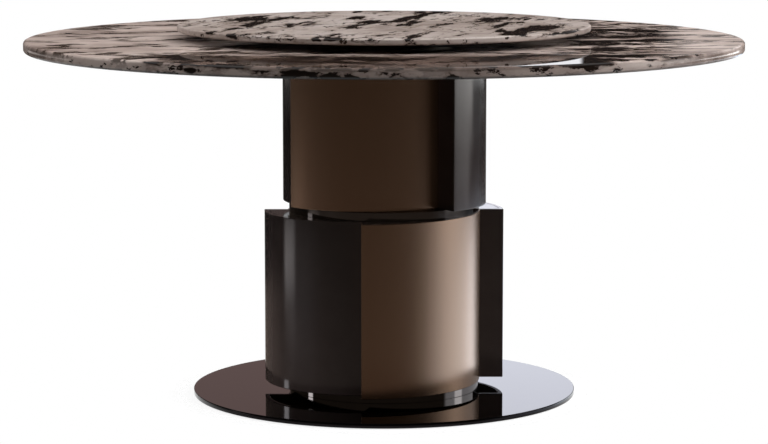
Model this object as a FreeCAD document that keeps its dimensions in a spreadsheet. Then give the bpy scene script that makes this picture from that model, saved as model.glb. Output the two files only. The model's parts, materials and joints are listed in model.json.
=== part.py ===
import FreeCAD, Part
import math
import os
import Sketcher

# Round dining table: a marble top and a marble turntable on two off-centre drums.
# The axis of the table is Z, the floor is Z = 0 and the front looks towards -Y.

vector = FreeCAD.Vector
doc = FreeCAD.newDocument("round_pedestal_table")
sheet = doc.addObject("Spreadsheet::Sheet", "sizes")
parts = []

# Driving sizes in millimetres. Names that end in count are numbers, names that end in turn are degrees.
driving = [
    ("fit_gap", 0.2, "room round a piece that is fitted into another"),
    ("pad_diameter", 40, "rubber floor pad"),
    ("pad_height", 1.5, "rubber floor pad"),
    ("pad_circle", 700, "circle that the floor pads stand on"),
    ("pad_count", 8, "floor pads"),
    ("base_diameter", 806, "base plate"),
    ("base_thickness", 10, "base plate"),
    ("base_bevel", 1, "bevel on both rims of the base plate"),
    ("column_diameter", 89, "column tube, outside"),
    ("column_wall", 5, "column tube"),
    ("flange_diameter", 140, "foot and head flange of the column"),
    ("flange_thickness", 12, "foot and head flange of the column"),
    ("bolt_circle", 116, "bolts of both flanges"),
    ("bolt_count", 6, "bolts of each flange"),
    ("bolt_diameter", 10, "flange bolts and tie bolts"),
    ("bolt_head_diameter", 18, "flange bolts and tie bolts"),
    ("bolt_head_height", 5, "flange bolts and tie bolts"),
    ("bolt_tip_room", 2, "thread left free past a bolt's tip"),
    ("screw_diameter", 6, "board screws"),
    ("screw_head_diameter", 12, "board screws"),
    ("screw_head_height", 3.5, "board screws"),
    ("screw_bite", 12, "depth of a board screw in its last board"),
    ("screw_count", 6, "board screws in each ring"),
    ("plinth_screw_circle", 320, "board screws through the base plate"),
    ("cap_screw_circle", 300, "board screws through the support plate"),
    ("plinth_diameter", 400, "polished plinth ring, outside"),
    ("plinth_height", 18, "plinth ring"),
    ("neck_diameter", 400, "polished neck ring, outside"),
    ("neck_height", 18, "neck ring"),
    ("band_thickness", 2, "sheet of both polished rings"),
    ("board_thickness", 18, "floor and cap boards of the drums"),
    ("rib_thickness", 18, "ribs of the drums"),
    ("dark_thickness", 10, "lacquered panels"),
    ("dark_round", 1.5, "rounded edges of the lacquered panels"),
    ("bronze_thickness", 2, "bronze sheet panels"),
    ("bronze_round", 0.6, "rounded edges of the bronze panels"),
    ("lower_height", 360, "lower drum"),
    ("lower_dark_radius", 206, "lower drum, dark quarter"),
    ("lower_bronze_radius", 248, "lower drum, bronze quarter"),
    ("lower_offset", 46, "lower drum, from the axis to the centre of each half"),
    ("lower_turn", 0, "lower drum, about the axis"),
    ("upper_height", 310.5, "upper drum"),
    ("upper_dark_radius", 190, "upper drum, dark quarter"),
    ("upper_bronze_radius", 217, "upper drum, bronze quarter"),
    ("upper_offset", 38, "upper drum, from the axis to the centre of each half"),
    ("upper_turn", -51.3, "upper drum, about the axis"),
    ("panel_screw_diameter", 4, "screws from the ribs into the dark panels"),
    ("panel_screw_head_diameter", 8, "screws from the ribs into the dark panels"),
    ("panel_screw_head_height", 2.5, "screws from the ribs into the dark panels"),
    ("panel_screw_bite", 7, "depth of a panel screw in the dark panel"),
    ("tie_circle", 300, "bolts that tie the two drums"),
    ("tie_count", 4, "bolts that tie the two drums"),
    ("tie_tail", 4, "thread of a tie bolt past its nut"),
    ("nut_diameter", 20, "round nuts of the tie bolts"),
    ("nut_height", 8, "round nuts of the tie bolts"),
    ("support_diameter", 800, "steel plate under the marble"),
    ("support_thickness", 8, "steel plate under the marble"),
    ("cushion_diameter", 30, "silicone cushions under the marble"),
    ("cushion_height", 2, "silicone cushions under the marble"),
    ("cushion_circle", 700, "silicone cushions under the marble"),
    ("cushion_count", 12, "silicone cushions under the marble"),
    ("stone_circle", 620, "screws that hold the marble"),
    ("stone_count", 6, "screws that hold the marble"),
    ("stone_screw_diameter", 8, "screws that hold the marble"),
    ("stone_screw_head_diameter", 14, "screws that hold the marble"),
    ("stone_screw_head_height", 5, "screws that hold the marble"),
    ("insert_diameter", 14, "brass inserts in the marble"),
    ("insert_depth", 14, "brass inserts in the marble"),
    ("slab_diameter", 1500, "marble top"),
    ("slab_thickness", 22, "marble top"),
    ("slab_round", 6, "rounded rim of the marble top"),
    ("foot_diameter", 24, "silicone feet and bonding pads of the bearing"),
    ("foot_height", 1.5, "silicone feet and bonding pads of the bearing"),
    ("foot_circle", 250, "silicone feet and bonding pads of the bearing"),
    ("foot_count", 6, "silicone feet, and bonding pads, of the bearing"),
    ("race_diameter", 320, "bearing discs"),
    ("race_thickness", 5.5, "bearing discs"),
    ("race_gap", 3.5, "between the two bearing discs"),
    ("ball_circle", 290, "balls of the bearing"),
    ("ball_count", 18, "balls of the bearing"),
    ("ball_diameter", 8, "balls of the bearing"),
    ("ball_room", 0.3, "round a ball in its race and in its cage"),
    ("cage_width", 18, "ball cage"),
    ("cage_thickness", 2, "ball cage"),
    ("pivot_diameter", 16, "pivot pin of the bearing"),
    ("pivot_room", 0.05, "running fit of the pivot pin in its bush"),
    ("bush_wall", 3, "pivot bush"),
    ("bush_flange_width", 5, "flange of the pivot bush, past its sleeve"),
    ("bush_flange_thickness", 1.2, "flange of the pivot bush"),
    ("turntable_diameter", 864, "marble turntable"),
    ("turntable_thickness", 12.5, "marble turntable"),
    ("turntable_round", 4, "rounded rim of the marble turntable"),
]
for row, (alias, value, note) in enumerate(driving, start=1):
    sheet.set(f"A{row}", note)
    sheet.set(f"B{row}", str(value))
    sheet.setAlias(f"B{row}", alias)
doc.recompute()

same_place = 1e-6
quarter = math.pi / 2
full_turn = 360
panel_screw_height_shares = (0.15, 0.5, 0.85)

# Levels of the stack, each as an expression, from the floor up
base_z = "sizes.pad_height"
plinth_z = f"{base_z} + sizes.base_thickness"
lower_z = f"{plinth_z} + sizes.plinth_height"
neck_z = f"{lower_z} + sizes.lower_height"
upper_z = f"{neck_z} + sizes.neck_height"
support_z = f"{upper_z} + sizes.upper_height"
cushion_z = f"{support_z} + sizes.support_thickness"
slab_z = f"{cushion_z} + sizes.cushion_height"
foot_z = f"{slab_z} + sizes.slab_thickness"
race_z = f"{foot_z} + sizes.foot_height"
carrier_z = f"{race_z} + sizes.race_thickness + sizes.race_gap"
bond_z = f"{carrier_z} + sizes.race_thickness"
turntable_z = f"{bond_z} + sizes.foot_height"

# Radii that several pieces share
bolt_hole = "sizes.bolt_diameter / 2 + sizes.fit_gap"
bolt_head_hole = "sizes.bolt_head_diameter / 2 + sizes.fit_gap"
screw_hole = "sizes.screw_diameter / 2 + sizes.fit_gap"
screw_head_hole = "sizes.screw_head_diameter / 2 + sizes.fit_gap"
column_hole = "sizes.column_diameter / 2 + sizes.fit_gap"
flange_hole = "sizes.flange_diameter / 2 + sizes.fit_gap"
tie_turn = "(sizes.lower_turn + sizes.upper_turn) / 2"


def drum(name, z):
    return {
        "name": name,
        "z": z,
        "turn": f"sizes.{name}_turn",
        "height": f"sizes.{name}_height",
        "dark": f"sizes.{name}_dark_radius",
        "bronze": f"sizes.{name}_bronze_radius",
        "offset": f"sizes.{name}_offset",
        "dark_inside": f"sizes.{name}_dark_radius - sizes.dark_thickness",
        "bronze_inside": f"sizes.{name}_bronze_radius - sizes.bronze_thickness",
        "return_end": f"sizes.{name}_bronze_radius - sizes.bronze_thickness - sizes.{name}_offset",
    }


lower = drum("lower", lower_z)
upper = drum("upper", upper_z)


# Small helpers for the document

def number(expression):
    return float(sheet.evalExpression(expression))


def body_at(label, z, turn=None):
    body = doc.addObject("PartDesign::Body", label)
    body.Label = label
    body.setExpression("Placement.Base.z", z)
    if turn:
        body.setExpression("Placement.Rotation.Angle", turn)
    parts.append(body)
    return body


def origin_feature(body, role):
    return next(feature for feature in body.Origin.OriginFeatures if feature.Role == role)


def sketch_in(body, role="XY_Plane"):
    sketch = body.newObject("Sketcher::SketchObject", f"{body.Label}_sketch")
    sketch.AttachmentSupport = [(origin_feature(body, role), "")]
    sketch.MapMode = "FlatFace"
    return sketch


def drive(sketch, expression, *constraint):
    index = sketch.addConstraint(Sketcher.Constraint(*constraint, number(expression)))
    sketch.renameConstraint(index, f"size_{index}")
    sketch.setExpression(f"Constraints.size_{index}", expression)


def locate(sketch, edge, end, x=None, y=None):
    point = sketch.getPoint(edge, end)
    for kind, expression, place in (("DistanceX", x, point.x), ("DistanceY", y, point.y)):
        if expression:
            order = (-1, 1, edge, end) if place > 0 else (edge, end, -1, 1)
            drive(sketch, expression, kind, *order)


def line(start, end):
    return Part.LineSegment(vector(*start), vector(*end))


def arc(centre, radius, start, end):
    return Part.ArcOfCircle(Part.Circle(vector(*centre), vector(0, 0, 1), radius), start, end)


def outline(sketch, edges):
    for edge in edges:
        sketch.addGeometry(edge, False)
    for here, edge in enumerate(edges):
        following = (here + 1) % len(edges)
        for end, start in ((2, 1), (2, 2), (1, 1), (1, 2)):
            apart = sketch.getPoint(here, end).distanceToPoint(sketch.getPoint(following, start))
            if apart < same_place:
                sketch.addConstraint(Sketcher.Constraint("Coincident", here, end, following, start))
                break
        if isinstance(edge, Part.LineSegment):
            run = edge.EndPoint - edge.StartPoint
            direction = "Horizontal" if abs(run.y) < abs(run.x) else "Vertical"
            sketch.addConstraint(Sketcher.Constraint(direction, here))


def centre_on_axis(sketch, edges, offset):
    first = edges[0]
    sketch.addConstraint(Sketcher.Constraint("PointOnObject", first, 3, -1))
    locate(sketch, first, 3, x=offset)
    for other in edges[1:]:
        sketch.addConstraint(Sketcher.Constraint("Coincident", first, 3, other, 3))


def circle_in(sketch, radius, place=None):
    centre = vector(number(place) if place else 0, 0)
    index = sketch.addGeometry(Part.Circle(centre, vector(0, 0, 1), number(radius)), False)
    if place:
        sketch.addConstraint(Sketcher.Constraint("PointOnObject", index, 3, -1))
        locate(sketch, index, 3, x=place)
    else:
        sketch.addConstraint(Sketcher.Constraint("Coincident", index, 3, -1, 1))
    drive(sketch, radius, "Radius", index)


def pad(body, sketch, length):
    feature = body.newObject("PartDesign::Pad", f"{body.Label}_pad")
    feature.Profile = sketch
    feature.setExpression("Length", length)
    doc.recompute()
    return feature


def turned(body, sketch):
    feature = body.newObject("PartDesign::Revolution", f"{body.Label}_turned")
    feature.Profile = sketch
    feature.ReferenceAxis = (sketch, ["V_Axis"])
    feature.Angle = full_turn
    doc.recompute()
    return feature


def repeat(body, features, count):
    pattern = body.newObject("PartDesign::PolarPattern", f"{body.Label}_pattern")
    pattern.Originals = features
    pattern.Axis = (origin_feature(body, "Z_Axis"), [""])
    pattern.Angle = full_turn
    pattern.setExpression("Occurrences", count)
    body.Tip = pattern
    doc.recompute()


def soften(body, feature, kind, size, keep):
    names = []
    for index, edge in enumerate(feature.Shape.Edges, start=1):
        middle = edge.valueAt((edge.FirstParameter + edge.LastParameter) / 2)
        upright = abs(edge.tangentAt(edge.FirstParameter).z) > abs(edge.tangentAt(edge.FirstParameter).x)
        upright = upright and isinstance(edge.Curve, Part.Line)
        if keep(middle, upright):
            names.append(f"Edge{index}")
    edge_feature = body.newObject(f"PartDesign::{kind}", f"{body.Label}_edges")
    edge_feature.Base = (feature, names)
    edge_feature.setExpression("Radius" if kind == "Fillet" else "Size", size)
    doc.recompute()


def drill(body, radius, circle, count, depth=None, top=None, turn=None):
    # Round holes on a circle: right through, or blind from the bottom or from the top face
    before = body.Shape.Volume
    sketch = sketch_in(body)
    circle_in(sketch, radius, f"{circle} / 2")
    if turn:
        sketch.setExpression("AttachmentOffset.Rotation.Angle", turn)
    if top:
        sketch.setExpression("AttachmentOffset.Base.z", top)
    pocket = body.newObject("PartDesign::Pocket", f"{body.Label}_hole")
    pocket.Profile = sketch
    pocket.Reversed = top is None
    if depth:
        pocket.setExpression("Length", depth)
    else:
        pocket.Type = "ThroughAll"
    doc.recompute()
    repeat(body, [pocket], count)
    if body.Shape.Volume >= before:
        raise RuntimeError(f"{body.Label}: a hole cuts nothing")


# Pieces that several places share

def disc(label, z, height, outer, inner=None, turn=None):
    body = body_at(label, z, turn)
    sketch = sketch_in(body)
    circle_in(sketch, outer)
    if inner:
        circle_in(sketch, inner)
    pad(body, sketch, height)
    return body


def dots(label, z, height, outer, circle, count, inner=None, turn=None):
    body = body_at(label, z, turn)
    sketch = sketch_in(body)
    circle_in(sketch, outer, f"{circle} / 2")
    if inner:
        circle_in(sketch, inner, f"{circle} / 2")
    repeat(body, [pad(body, sketch, height)], count)
    return body


def fastener_profile(sketch, head, head_height, shank, length):
    wide, low, slim, tall = (number(e) for e in (f"{head} / 2", head_height, f"{shank} / 2", length))
    corners = [(0, 0), (wide, 0), (wide, low), (slim, low), (slim, tall), (0, tall)]
    outline(sketch, [line(start, end) for start, end in zip(corners, corners[1:] + corners[:1])])
    sketch.addConstraint(Sketcher.Constraint("Coincident", 0, 1, -1, 1))
    locate(sketch, 1, 1, x=f"{head} / 2")
    locate(sketch, 2, 1, y=head_height)
    locate(sketch, 3, 1, x=f"{shank} / 2")
    locate(sketch, 4, 1, y=length)


def fasteners(label, z, kind, length, circle, count, down=False, turn=None):
    body = body_at(label, z, turn)
    if down:
        body.Placement.Rotation = FreeCAD.Rotation(vector(1, 0, 0), full_turn / 2)
    sketch = sketch_in(body, "XZ_Plane")
    sketch.setExpression("AttachmentOffset.Base.x", f"{circle} / 2")
    head = f"sizes.{kind}_head_diameter"
    fastener_profile(sketch, head, f"sizes.{kind}_head_height", f"sizes.{kind}_diameter", length)
    repeat(body, [turned(body, sketch)], count)


# Base plate, column and plinth

def base_plate():
    body = disc("base_plate", base_z, "sizes.base_thickness", "sizes.base_diameter / 2")
    rim = number("sizes.base_diameter / 2")
    soften(body, body.Tip, "Chamfer", "sizes.base_bevel",
           lambda point, upright: not upright and point.Length > rim / 2)
    drill(body, bolt_hole, "sizes.bolt_circle", "sizes.bolt_count")
    drill(body, bolt_head_hole, "sizes.bolt_circle", "sizes.bolt_count", depth="sizes.bolt_head_height")
    drill(body, screw_hole, "sizes.plinth_screw_circle", "sizes.screw_count")
    drill(body, screw_head_hole, "sizes.plinth_screw_circle", "sizes.screw_count",
          depth="sizes.screw_head_height")


def flange(label, z):
    body = disc(label, z, "sizes.flange_thickness", "sizes.flange_diameter / 2", column_hole)
    drill(body, bolt_hole, "sizes.bolt_circle", "sizes.bolt_count")


def column():
    length = "sizes.plinth_height + sizes.lower_height + sizes.neck_height + sizes.upper_height"
    bolt_length = "sizes.flange_thickness - sizes.bolt_tip_room"
    outside = "sizes.column_diameter / 2"
    disc("column_tube", plinth_z, length, outside, f"{outside} - sizes.column_wall")
    flange("foot_flange", plinth_z)
    flange("head_flange", f"{support_z} - sizes.flange_thickness")
    fasteners("foot_bolts", base_z, "bolt", f"sizes.base_thickness + {bolt_length}",
              "sizes.bolt_circle", "sizes.bolt_count")
    fasteners("head_bolts", cushion_z, "bolt", f"sizes.support_thickness + {bolt_length}",
              "sizes.bolt_circle", "sizes.bolt_count", down=True)


def band(label, z, height, diameter):
    disc(label, z, height, f"{diameter} / 2", f"{diameter} / 2 - sizes.band_thickness")


def plinth():
    edge = "sizes.plinth_diameter / 2 - sizes.band_thickness - sizes.fit_gap"
    core = disc("plinth_core", plinth_z, "sizes.plinth_height", edge, flange_hole)
    drill(core, screw_hole, "sizes.plinth_screw_circle", "sizes.screw_count")
    band("plinth_band", plinth_z, "sizes.plinth_height", "sizes.plinth_diameter")
    fasteners("plinth_screws", base_z, "screw",
              "sizes.base_thickness + sizes.plinth_height + sizes.screw_bite",
              "sizes.plinth_screw_circle", "sizes.screw_count")


def neck():
    edge = "sizes.neck_diameter / 2 - sizes.band_thickness - sizes.fit_gap"
    core = disc("neck_core", neck_z, "sizes.neck_height", edge, column_hole)
    drill(core, bolt_hole, "sizes.tie_circle", "sizes.tie_count", turn=tie_turn)
    band("neck_band", neck_z, "sizes.neck_height", "sizes.neck_diameter")
    clamped = "sizes.board_thickness * 2 + sizes.neck_height"
    fasteners("tie_bolts", f"{neck_z} - sizes.board_thickness - sizes.bolt_head_height", "bolt",
              f"sizes.bolt_head_height + {clamped} + sizes.nut_height + sizes.tie_tail",
              "sizes.tie_circle", "sizes.tie_count", turn=tie_turn)
    dots("tie_nuts", f"{upper_z} + sizes.board_thickness", "sizes.nut_height", "sizes.nut_diameter / 2",
         "sizes.tie_circle", "sizes.tie_count", bolt_hole, tie_turn)


# Drums: each half is a dark quarter and a wider bronze quarter round one centre, which lies on the
# plane between the halves, off the axis towards the dark side. The second half is the first turned by
# 180 degrees.

def panel_screw_place(part):
    return f"({part['return_end']} + {part['offset']} + {part['dark_inside']}) / 2"


def panel_screw_holes(body, part, below, depth, inwards):
    # Holes across the flat end of a dark panel, or on inwards through the rib behind it
    before = body.Shape.Volume
    place = panel_screw_place(part)
    radius = "sizes.panel_screw_diameter / 2 + sizes.fit_gap"
    sketch = sketch_in(body, "XZ_Plane")
    sketch.setExpression("AttachmentOffset.Base.z", "sizes.dark_thickness")
    for share in panel_screw_height_shares:
        height = f"{part['height']} * {share} - {below}"
        centre = vector(-number(place), number(height))
        index = sketch.addGeometry(Part.Circle(centre, vector(0, 0, 1), number(radius)), False)
        locate(sketch, index, 3, x=place, y=height)
        drive(sketch, radius, "Radius", index)
    pocket = body.newObject("PartDesign::Pocket", f"{body.Label}_screw_holes")
    pocket.Profile = sketch
    pocket.Reversed = inwards
    pocket.setExpression("Length", depth)
    doc.recompute()
    if body.Shape.Volume >= before:
        raise RuntimeError(f"{body.Label}: a screw hole cuts nothing")
    return pocket


def dark_panel(label, part, turn):
    body = body_at(label, part["z"], turn)
    sketch = sketch_in(body)
    outside, inside, offset = number(part["dark"]), number(part["dark_inside"]), number(part["offset"])
    thick, end = number("sizes.dark_thickness"), number(part["return_end"])
    seat = math.sqrt(inside ** 2 - thick ** 2)
    centre = (-offset, 0)
    outline(sketch, [
        arc(centre, outside, 2 * quarter, 3 * quarter),
        line((-offset, -outside), (-offset, -inside)),
        arc(centre, inside, 2 * quarter + math.asin(thick / inside), 3 * quarter),
        line((-offset - seat, -thick), (-end, -thick)),
        line((-end, -thick), (-end, 0)),
        line((-end, 0), (-offset - outside, 0)),
    ])
    centre_on_axis(sketch, (0, 2), part["offset"])
    drive(sketch, part["dark"], "Radius", 0)
    drive(sketch, part["dark_inside"], "Radius", 2)
    sketch.addConstraint(Sketcher.Constraint("Vertical", 0, 3, 1, 1))
    sketch.addConstraint(Sketcher.Constraint("PointOnObject", 5, 1, -1))
    locate(sketch, 3, 1, y="sizes.dark_thickness")
    locate(sketch, 4, 1, x=part["return_end"])
    feature = pad(body, sketch, part["height"])

    def shows(point, upright):
        on_curve = abs(math.hypot(point.x + offset, point.y) - outside) < same_place
        on_return = abs(point.y) < same_place and not upright
        return on_return or (on_curve and abs(point.x + offset) > same_place)

    soften(body, feature, "Fillet", "sizes.dark_round", shows)
    panel_screw_holes(body, part, "0", "sizes.panel_screw_bite", False)


def bronze_panel(label, part, turn):
    body = body_at(label, part["z"], turn)
    sketch = sketch_in(body)
    outside, inside, offset = number(part["bronze"]), number(part["bronze_inside"]), number(part["offset"])
    thick, end = number("sizes.bronze_thickness"), number(part["dark_inside"])
    seat = math.sqrt(inside ** 2 - thick ** 2)
    centre = (-offset, 0)
    outline(sketch, [
        arc(centre, outside, 3 * quarter, 4 * quarter),
        line((outside - offset, 0), (inside - offset, 0)),
        arc(centre, inside, 3 * quarter + math.asin(thick / inside), 4 * quarter),
        line((thick - offset, -seat), (thick - offset, -end)),
        line((thick - offset, -end), (-offset, -end)),
        line((-offset, -end), (-offset, -outside)),
    ])
    centre_on_axis(sketch, (0, 2), part["offset"])
    drive(sketch, part["bronze"], "Radius", 0)
    drive(sketch, part["bronze_inside"], "Radius", 2)
    sketch.addConstraint(Sketcher.Constraint("PointOnObject", 1, 1, -1))
    sketch.addConstraint(Sketcher.Constraint("Vertical", 0, 3, 5, 1))
    drive(sketch, "sizes.bronze_thickness", "DistanceX", 5, 1, 3, 1)
    locate(sketch, 4, 1, y=part["dark_inside"])
    feature = pad(body, sketch, part["height"])

    def shows(point, upright):
        on_curve = abs(math.hypot(point.x + offset, point.y) - outside) < same_place
        on_return = abs(point.x + offset) < same_place and not upright
        return on_return or (on_curve and abs(point.y) > same_place)

    soften(body, feature, "Fillet", "sizes.bronze_round", shows)


def board(label, part, z, bore):
    # Board that fills the drum inside its four panels, with a round hole for the column
    body = body_at(label, z, part["turn"])
    sketch = sketch_in(body)
    dark_edge = f"{part['dark_inside']} - sizes.fit_gap"
    bronze_edge = f"{part['bronze_inside']} - sizes.fit_gap"
    half_width = f"{part['return_end']} - sizes.fit_gap"
    dark_step = "sizes.dark_thickness + sizes.fit_gap"
    bronze_step = "sizes.bronze_thickness + sizes.fit_gap"
    dark, bronze, wide = number(dark_edge), number(bronze_edge), number(half_width)
    deep, slim = number(dark_step), number(bronze_step)
    offset, hole = number(part["offset"]), number(bore)
    centre = (-offset, 0)
    outline(sketch, [
        line((-wide, 0), (-wide, -deep)),
        line((-wide, -deep), (-offset - math.sqrt(dark ** 2 - deep ** 2), -deep)),
        arc(centre, dark, 2 * quarter + math.asin(deep / dark), 3 * quarter),
        line((-offset, -dark), (slim - offset, -dark)),
        line((slim - offset, -dark), (slim - offset, -math.sqrt(bronze ** 2 - slim ** 2))),
        arc(centre, bronze, 3 * quarter + math.asin(slim / bronze), 4 * quarter),
        line((wide, 0), (hole, 0)),
        arc((0, 0), hole, 2 * quarter, 4 * quarter),
        line((-hole, 0), (-wide, 0)),
    ])
    centre_on_axis(sketch, (2, 5), part["offset"])
    sketch.addConstraint(Sketcher.Constraint("Coincident", 7, 3, -1, 1))
    drive(sketch, dark_edge, "Radius", 2)
    drive(sketch, bronze_edge, "Radius", 5)
    drive(sketch, bore, "Radius", 7)
    sketch.addConstraint(Sketcher.Constraint("PointOnObject", 6, 1, -1))
    sketch.addConstraint(Sketcher.Constraint("PointOnObject", 8, 1, -1))
    sketch.addConstraint(Sketcher.Constraint("Vertical", 2, 3, 3, 1))
    locate(sketch, 0, 1, x=half_width)
    locate(sketch, 1, 1, y=dark_step)
    drive(sketch, bronze_step, "DistanceX", 2, 3, 4, 1)
    repeat(body, [pad(body, sketch, "sizes.board_thickness")], "2")
    return body


def ribs(label, part, left, right, front, back):
    body = body_at(label, f"{part['z']} + sizes.board_thickness", part["turn"])
    sketch = sketch_in(body)
    x0, x1, y0, y1 = (-number(e) for e in (left, right, front, back))
    corners = [(x0, y0), (x1, y0), (x1, y1), (x0, y1)]
    outline(sketch, [line(start, end) for start, end in zip(corners, corners[1:] + corners[:1])])
    locate(sketch, 0, 1, x=left, y=front)
    locate(sketch, 2, 1, x=right, y=back)
    repeat(body, [pad(body, sketch, f"{part['height']} - sizes.board_thickness * 2")], "2")
    return body


def drum_ribs(part):
    near_column = column_hole
    deep = "sizes.dark_thickness + sizes.rib_thickness"
    slim = "sizes.bronze_thickness + sizes.rib_thickness"
    dark_reach = f"sqrt(({part['dark_inside']}) ^ 2 - ({deep}) ^ 2) - sizes.fit_gap"
    bronze_reach = f"sqrt(({part['bronze_inside']}) ^ 2 - ({slim}) ^ 2) - sizes.fit_gap"
    split = ribs(f"{part['name']}_split_ribs", part, f"{part['offset']} + {dark_reach}", near_column,
                 deep, "sizes.dark_thickness")
    repeat(split, [panel_screw_holes(split, part, "sizes.board_thickness", "sizes.rib_thickness", True)], "2")
    ribs(f"{part['name']}_cross_ribs", part, f"{part['offset']} - sizes.bronze_thickness",
         f"{part['offset']} - ({slim})", bronze_reach, near_column)


def panel_screws(part):
    # Screws from inside, through the split ribs into the flat ends of the dark panels
    body = body_at(f"{part['name']}_panel_screws", part["z"], part["turn"])
    start = "sizes.dark_thickness + sizes.rib_thickness + sizes.panel_screw_head_height"
    length = "sizes.panel_screw_head_height + sizes.rib_thickness + sizes.panel_screw_bite"
    screws = []
    for share in panel_screw_height_shares:
        sketch = sketch_in(body)
        sketch.setExpression("AttachmentOffset.Base.x", f"-({panel_screw_place(part)})")
        sketch.setExpression("AttachmentOffset.Base.y", f"-({start})")
        sketch.setExpression("AttachmentOffset.Base.z", f"{part['height']} * {share}")
        fastener_profile(sketch, "sizes.panel_screw_head_diameter", "sizes.panel_screw_head_height",
                         "sizes.panel_screw_diameter", length)
        screws.append(turned(body, sketch))
    repeat(body, screws, "2")


def drum_pieces(part):
    name, turn = part["name"], part["turn"]
    opposite = f"{turn} + {full_turn // 2}"
    dark_panel(f"{name}_dark_panel_left", part, turn)
    dark_panel(f"{name}_dark_panel_right", part, opposite)
    bronze_panel(f"{name}_bronze_panel_front", part, turn)
    bronze_panel(f"{name}_bronze_panel_rear", part, opposite)
    drum_ribs(part)
    panel_screws(part)


def drums():
    drum_pieces(lower)
    drum_pieces(upper)
    lower_floor = board("lower_floor", lower, lower_z, column_hole)
    drill(lower_floor, screw_hole, "sizes.plinth_screw_circle", "sizes.screw_count",
          depth="sizes.screw_bite", turn="-sizes.lower_turn")
    lower_cap = board("lower_cap", lower, f"{neck_z} - sizes.board_thickness", column_hole)
    drill(lower_cap, bolt_hole, "sizes.tie_circle", "sizes.tie_count",
          turn=f"{tie_turn} - sizes.lower_turn")
    upper_floor = board("upper_floor", upper, upper_z, column_hole)
    drill(upper_floor, bolt_hole, "sizes.tie_circle", "sizes.tie_count",
          turn=f"{tie_turn} - sizes.upper_turn")
    upper_cap = board("upper_cap", upper, f"{support_z} - sizes.board_thickness", flange_hole)
    drill(upper_cap, screw_hole, "sizes.cap_screw_circle", "sizes.screw_count",
          depth="sizes.screw_bite", top="sizes.board_thickness", turn="-sizes.upper_turn")


# Marble top and what carries it

def support_plate():
    body = disc("support_plate", support_z, "sizes.support_thickness", "sizes.support_diameter / 2")
    stone_hole = "sizes.stone_screw_diameter / 2 + sizes.fit_gap"
    top = "sizes.support_thickness"
    drill(body, bolt_hole, "sizes.bolt_circle", "sizes.bolt_count")
    drill(body, bolt_head_hole, "sizes.bolt_circle", "sizes.bolt_count",
          depth="sizes.bolt_head_height", top=top)
    drill(body, screw_hole, "sizes.cap_screw_circle", "sizes.screw_count")
    drill(body, screw_head_hole, "sizes.cap_screw_circle", "sizes.screw_count",
          depth="sizes.screw_head_height", top=top)
    drill(body, stone_hole, "sizes.stone_circle", "sizes.stone_count")
    fasteners("cap_screws", cushion_z, "screw", "sizes.support_thickness + sizes.screw_bite",
              "sizes.cap_screw_circle", "sizes.screw_count", down=True)
    dots("cushion_pads", cushion_z, "sizes.cushion_height", "sizes.cushion_diameter / 2",
         "sizes.cushion_circle", "sizes.cushion_count")
    dots("stone_inserts", slab_z, "sizes.insert_depth", "sizes.insert_diameter / 2",
         "sizes.stone_circle", "sizes.stone_count", stone_hole)
    grip = "sizes.support_thickness + sizes.cushion_height + sizes.insert_depth - sizes.bolt_tip_room"
    fasteners("stone_screws", f"{support_z} - sizes.stone_screw_head_height", "stone_screw",
              f"sizes.stone_screw_head_height + {grip}", "sizes.stone_circle", "sizes.stone_count")


def marble(label, z, name):
    body = disc(label, z, f"sizes.{name}_thickness", f"sizes.{name}_diameter / 2")
    soften(body, body.Tip, "Fillet", f"sizes.{name}_round", lambda point, upright: not upright)
    return body


def tabletop():
    body = marble("tabletop", slab_z, "slab")
    drill(body, "sizes.insert_diameter / 2 + sizes.fit_gap", "sizes.stone_circle", "sizes.stone_count",
          depth="sizes.insert_depth")


# Turntable and its ball bearing

def race(label, z, hole, over=False):
    # Bearing disc with a round groove for the balls in its upper face, or turned over with it below
    body = body_at(label, z)
    if over:
        body.Placement.Rotation = FreeCAD.Rotation(vector(1, 0, 0), full_turn / 2)
    sketch = sketch_in(body, "XZ_Plane")
    groove = "sizes.ball_diameter / 2 + sizes.ball_room"
    ball_height = "sizes.race_thickness + sizes.race_gap / 2"
    rim, thick, bore = number("sizes.race_diameter / 2"), number("sizes.race_thickness"), number(hole)
    middle, deep, radius = number("sizes.ball_circle / 2"), number("sizes.race_gap / 2"), number(groove)
    half = math.sqrt(radius ** 2 - deep ** 2)
    rise = math.asin(deep / radius)
    outline(sketch, [
        line((bore, 0), (rim, 0)),
        line((rim, 0), (rim, thick)),
        line((rim, thick), (middle + half, thick)),
        arc((middle, thick + deep), radius, 2 * quarter + rise, 4 * quarter - rise),
        line((middle - half, thick), (bore, thick)),
        line((bore, thick), (bore, 0)),
    ])
    sketch.addConstraint(Sketcher.Constraint("PointOnObject", 0, 1, -1))
    locate(sketch, 0, 1, x=hole)
    locate(sketch, 1, 1, x="sizes.race_diameter / 2")
    locate(sketch, 2, 1, y="sizes.race_thickness")
    locate(sketch, 3, 3, x="sizes.ball_circle / 2", y=ball_height)
    drive(sketch, groove, "Radius", 3)
    locate(sketch, 4, 1, y="sizes.race_thickness")
    turned(body, sketch)


def balls(label, z):
    body = body_at(label, z)
    sketch = sketch_in(body, "XZ_Plane")
    sketch.setExpression("AttachmentOffset.Base.x", "sizes.ball_circle / 2")
    radius = number("sizes.ball_diameter / 2")
    outline(sketch, [arc((0, 0), radius, -quarter, quarter), line((0, radius), (0, -radius))])
    sketch.addConstraint(Sketcher.Constraint("Coincident", 0, 3, -1, 1))
    sketch.addConstraint(Sketcher.Constraint("PointOnObject", 1, 1, -2))
    drive(sketch, "sizes.ball_diameter / 2", "Radius", 0)
    repeat(body, [turned(body, sketch)], "sizes.ball_count")


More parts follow.
